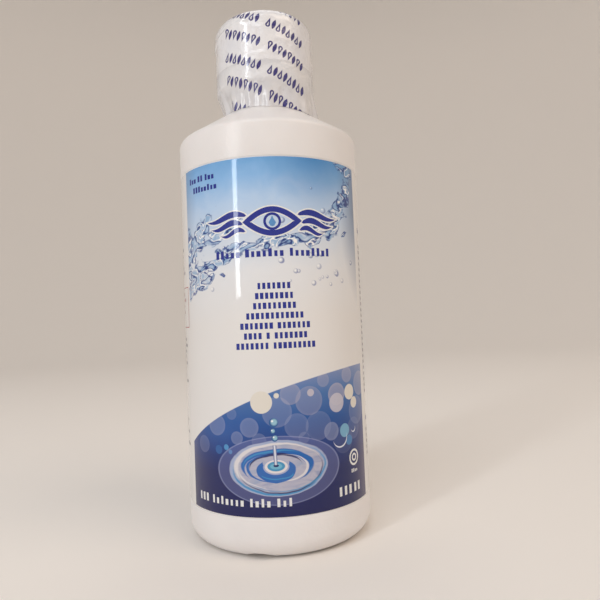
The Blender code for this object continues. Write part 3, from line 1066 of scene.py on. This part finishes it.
def make_lid(material):
    """The domed upper half of the closure."""
    ceiling = LID_TOP - 1.3
    profile = [(1e-3, LID_TOP - 0.12)] + line((3.0, LID_TOP - 0.11), (9.4, LID_TOP), 6)
    profile += arc((COLLAR - LID_ROUNDING, LID_TOP - LID_ROUNDING), LID_ROUNDING, 90, 0, 16)
    profile += line((COLLAR, LID_TOP - 3.2), (COLLAR, LID_LOW + 0.25), 10)
    profile += arc((COLLAR - 0.22, LID_LOW + 0.22), 0.22, 0, -90, 4)
    profile += arc((LID_INNER + 0.22, LID_LOW + 0.22), 0.22, -90, -180, 4)
    profile += arc((LID_INNER - 2.0, ceiling - 2.0), 2.0, 0, 90, 8)
    profile += [(3.0, ceiling), (2.8, ceiling - 0.1), (2.6, ceiling - 0.35), (1e-3, ceiling - 0.35)]

    def shape(angle, radius, height):
        return flattened(angle, radius), height

    Builder().turned(profile, 192, shape).finish("lid_shell", "lid", "flip_lid", [material])


def make_strap(material):
    """The living hinge: a strap, thinned along its pivot line."""
    builder = Builder()
    rows = []
    steps = 36
    for step in range(steps + 1):
        z = STRAP_LOW + (STRAP_HIGH - STRAP_LOW) * step / steps
        thin = 0.45 + 0.55 * ramp(abs(z - PARTING), 0.1, 0.6)
        half = STRAP_HALF - 0.25 * (1 - ramp(min(z - STRAP_LOW, STRAP_HIGH - z), 0, 0.3))
        y0 = STRAP_Y
        y1 = STRAP_Y + 0.2 * thin
        crest = y1 + 0.04
        corners = ((-half, y0), (half, y0), (half, y1), (half - 0.1, crest), (0.1 - half, crest))
        corners += ((-half, y1),)
        rows.append([builder.add((x * MM, y * MM, z * MM), (x, z)) for x, y in corners])
    for lower, upper in zip(rows, rows[1:]):
        for k in range(6):
            after = (k + 1) % 6
            builder.face([lower[k], lower[after], upper[after], upper[k]])
    builder.face(rows[0][::-1])
    builder.face(rows[-1])
    strap = builder.finish("hinge_strap", None, "hinge_strap_lower", [material], False)
    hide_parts("hinge_strap_lower", "hinge_strap_upper")
    low = (0, STRAP_Y * MM, (PARTING - 0.5) * MM)
    high = (0, STRAP_Y * MM, (PARTING + 0.5) * MM)
    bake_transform(strap)


def make_nozzle(material):
    """Dropper nozzle: tip, flange on the neck, and a plug in the bore."""
    flange = NECK_TOP + 0.3
    plug = NECK_BORE - 0.3
    profile = arc((1.35, TIP - 0.45), 0.45, 150, 0, 8)
    profile += [(2.3, 128.4), (3.3, 125.2), (3.5, flange + 1.1), (3.8, flange + 0.8)]
    profile += arc((FLANGE - 0.2, flange + 0.6), 0.2, 90, 0, 3)
    profile += [(FLANGE, flange), (plug, flange), (plug, 117.2), (6.9, NOZZLE_LOW)]
    # Inside, from the plug's mouth up to the hole in the tip.
    profile += [(6.3, NOZZLE_LOW), (6.3, 120.4), (5.9, 120.9), (2.6, 121.5)]
    profile += [(2.2, 124.5), (1.3, 129.6), (0.7, 130.0)]
    builder = Builder().turned(profile, 128, loop=True)
    builder.finish("nozzle_shell", "bottle_body", "nozzle_insert", [material])


def make_washer(material):
    """Foam ring with rounded sides."""
    middle = (WASHER_LOW + WASHER_TOP) / 2
    half = (WASHER_TOP - WASHER_LOW) / 2
    profile = arc((4.4 + half, middle), half, 270, 90, 6)
    profile += arc((WASHER - half, middle), half, 90, -90, 6)
    builder = Builder().turned(profile, 128, loop=True)
    builder.finish("washer_ring", "washer", "seal_washer", [material])


def fold(angle, height, at, rise, width, start, end):
    """A ridge that slopes round the film, fading out at both ends."""
    near = exp(-(((height - at - rise * angle) / width) ** 2))
    return near * ramp(angle, start, start + 0.5) * (1 - ramp(angle, end - 0.5, end))


def crease(angle, height):
    """Slight waves of the film over the closure, and a few folds."""
    sway = height * 0.9 + 1.6 * sin(2 * angle + 0.6) + 0.8 * sin(5 * angle)
    wave = 0.035 * sin(3 * angle + 0.7) + 0.03 * sin(sway)
    wave += 0.015 * sin(9 * angle + height * 1.3)
    folds = 0.0
    for rise, *where in (
        (0.22, 131.0, 2.4, 0.5, -1.9, 0.2),
        (0.08, 121.4, 0.9, 0.4, -0.8, 0.9),
        (0.08, 125.6, -1.6, 0.45, -0.1, 1.1),
        (0.14, 124.0, 1.4, 0.5, 1.9, 3.0),
        (0.14, 123.0, -1.1, 0.5, -3.0, -1.7),
    ):
        folds += rise * fold(angle, height, *where)
    seam = 0.1 * ramp(abs(angle), pi - 0.14, pi - 0.11)
    return wave + folds + seam


def make_film_band(material):
    """The film above the perforation. Returns its length down the side, for the print below."""
    round_u, round_z = COLLAR - LID_ROUNDING, LID_TOP - LID_ROUNDING
    profile = line((FILM_MOUTH, FILM_CROWN), (round_u, FILM_CROWN), 5)
    for step in range(25):
        turn = radians(90 - 3.75 * step)
        across = (FILM_SIDE - round_u) * cos(turn)
        profile.append((round_u + across, round_z + (FILM_CROWN - round_z) * sin(turn)))
    profile += line((FILM_SIDE, round_z), (FILM_SIDE, PARTING), 52)[1:] + [(FILM_SIDE, PARTING)]

    def shape(angle, radius, height):
        mouth = 1 - ramp(radius, FILM_MOUTH, 9.6)
        radius += crease(angle, height) * ramp(radius, 9.0, 12.0)
        height += mouth * 0.05 * sin(11 * angle) * sin(4 * angle + 1)
        return radius, height

    builder = Builder().turned(profile, 288, shape)
    builder.finish("film_band", "film_band", "seal_film_band", [material], sharp=60)
    return max(v for _, v in builder.uvs)


def skirt_shape(angle, radius, height):
    """Tight round the collar. Below it the film is drawn in at the left and stands off right."""
    right = max(0.0, sin(angle)) ** 1.5
    left = max(0.0, -sin(angle)) ** 1.5
    pull = -0.8 + 1.7 * right - 0.9 * left
    gather = 0.30 * sin(9 * angle + 1.3) + 0.20 * sin(15 * angle + 0.4)
    gather += 0.10 * sin(31 * angle)

    def loose(drop):
        below = ramp(drop, -0.2, 6.0)
        tuck = 0.3 * ramp(drop, -0.3, 0.9) * (1 - right)
        return radius + below * (pull + gather * (1.0 - 0.5 * right)) - tuck

    drop = COLLAR_LOW - height
    if drop <= 0:
        return loose(drop) + crease(angle, height), height
    fall = COLLAR_LOW - SKIRT_LOW
    end = shoulder_height(max(loose(fall), SKIRT_NARROWEST)) + SKIRT_GAP
    height = COLLAR_LOW - drop * (COLLAR_LOW - end) / fall
    narrowest = BEAD + 0.2 if height > BEAD_HEIGHT - 1.4 else SKIRT_NARROWEST
    return max(loose(drop) + crease(angle, height) * (1 - drop / fall), narrowest), height


def make_film_skirt(material, above):
    """The film below the perforation. Its print carries on from the length of film above."""
    collar_end, end = (FILM_SIDE, COLLAR_LOW), (FILM_SIDE, SKIRT_LOW)
    profile = line((FILM_SIDE, PARTING - 0.02), collar_end, 22) + line(collar_end, end, 44) + [end]
    builder = Builder().turned(profile, 360, skirt_shape)
    builder.uvs = [(u, v + above) for u, v in builder.uvs]
    builder.finish("film_skirt", "bottle_body", "seal_film_skirt", [material], sharp=60)


# ---------------------------------------------------------------- stage, light and camera


def make_backdrop():
    """Pale floor that curves up into a backdrop all round. Sizes are in metres."""
    flat = 0.75
    curve = 0.85
    top = 2.2
    profile = [(0.0, 0.0), (0.25, 0.0), (0.5, 0.0), (flat, 0.0)]
    profile += [(r + flat, z + curve) for r, z in arc((0.0, 0.0), curve, -85, 0, 17)]
    profile.append((flat + curve, top))
    builder = Builder().turned([(mm(r), mm(z)) for r, z in reversed(profile)], 96)
    mesh = bpy.data.meshes.new("backdrop")
    mesh.from_pydata(builder.points, [], [corners[::-1] for corners in builder.faces])
    mesh.shade_smooth()
    backdrop = bpy.data.objects.new("backdrop", mesh)
    bpy.context.scene.collection.objects.link(backdrop)
    paint = Paint("backdrop_paper", 0.8)
    paint.over(None, rgb(247, 242, 237))
    mesh.materials.append(paint.done())


def area_light(name, azimuth, distance, height, aim, size, power, colour):
    """A rectangular light aimed at a height on the axis. Sizes are in metres, power in watts."""
    data = bpy.data.lights.new(name, "AREA")
    data.shape = "RECTANGLE"
    data.size, data.size_y = size
    data.energy = power
    data.color = colour
    light = bpy.data.objects.new(name, data)
    angle = radians(azimuth)
    light.location = (distance * sin(angle), -distance * cos(angle), height)
    towards = Vector((0, 0, aim)) - light.location
    light.rotation_euler = towards.to_track_quat("-Z", "Y").to_euler()
    bpy.context.scene.collection.objects.link(light)


def make_lights():
    world = bpy.data.worlds.new("soft_room")
    world.use_nodes = True
    background = world.node_tree.nodes["Background"]
    background.inputs[0].default_value = (0.99, 0.98, 0.97, 1.0)
    background.inputs[1].default_value = 0.27
    bpy.context.scene.world = world
    area_light("key", -24, 0.8, 1.0, 0.06, (0.7, 0.7), 3.2, (0.9, 0.97, 1.06))
    area_light("fill", 52, 0.9, 1.1, 0.06, (0.8, 0.8), 4.4, (1.0, 0.83, 0.66))
    area_light("top", 170, 0.5, 1.5, 0.08, (1.0, 1.0), 2.6, (1.0, 0.97, 0.94))
    area_light("strip", -42.3, 0.6, 0.295, 0.295, (0.06, 0.41), 0.95, (0.92, 0.97, 1.0))


def make_camera():
    data = bpy.data.cameras.new("camera")
    data.sensor_width = 36.0
    data.lens = 32.8
    data.clip_start = 0.01
    camera = bpy.data.objects.new("camera", data)
    camera.location = (0.0, -0.1476, 0.05295)
    camera.rotation_euler = (1.6137, 0.0401, -0.0468)
    bpy.context.scene.collection.objects.link(camera)
    bpy.context.scene.camera = camera


bpy.context.scene.view_settings.view_transform = "Standard"
make_backdrop()
make_lights()
make_camera()

bottle_white = moulded_plastic("bottle_white", rgb(239, 235, 234), 0.32, 0.15, 0.0001)
closure_white = moulded_plastic("closure_white", rgb(246, 245, 243), 0.24, 0.1, 0.00005)
nozzle_natural = moulded_plastic("nozzle_natural", rgb(226, 230, 230), 0.36, 0.3, 0.00005)

make_bottle(bottle_white)
make_label(label_material())
inks = {
    "ink_navy": NAVY,
    "ink_white": rgb(238, 238, 238),
    "ink_red": rgb(176, 84, 92),
    "ink_sky": rgb(96, 150, 205),
    "ink_grey": rgb(96, 98, 120),
}
make_print([print_material(name, colour) for name, colour in inks.items()])
make_collar(closure_white)
make_lid(closure_white)
make_strap(closure_white)
make_nozzle(nozzle_natural)
make_washer(foam_material())
band_length = make_film_band(film_material("film_band_print", 0.8))
make_film_skirt(film_material("film_skirt_print", 0.66), band_length)
liquid = liquid_material()
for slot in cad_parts["solution_fill"].material_slots:
    slot.material = liquid
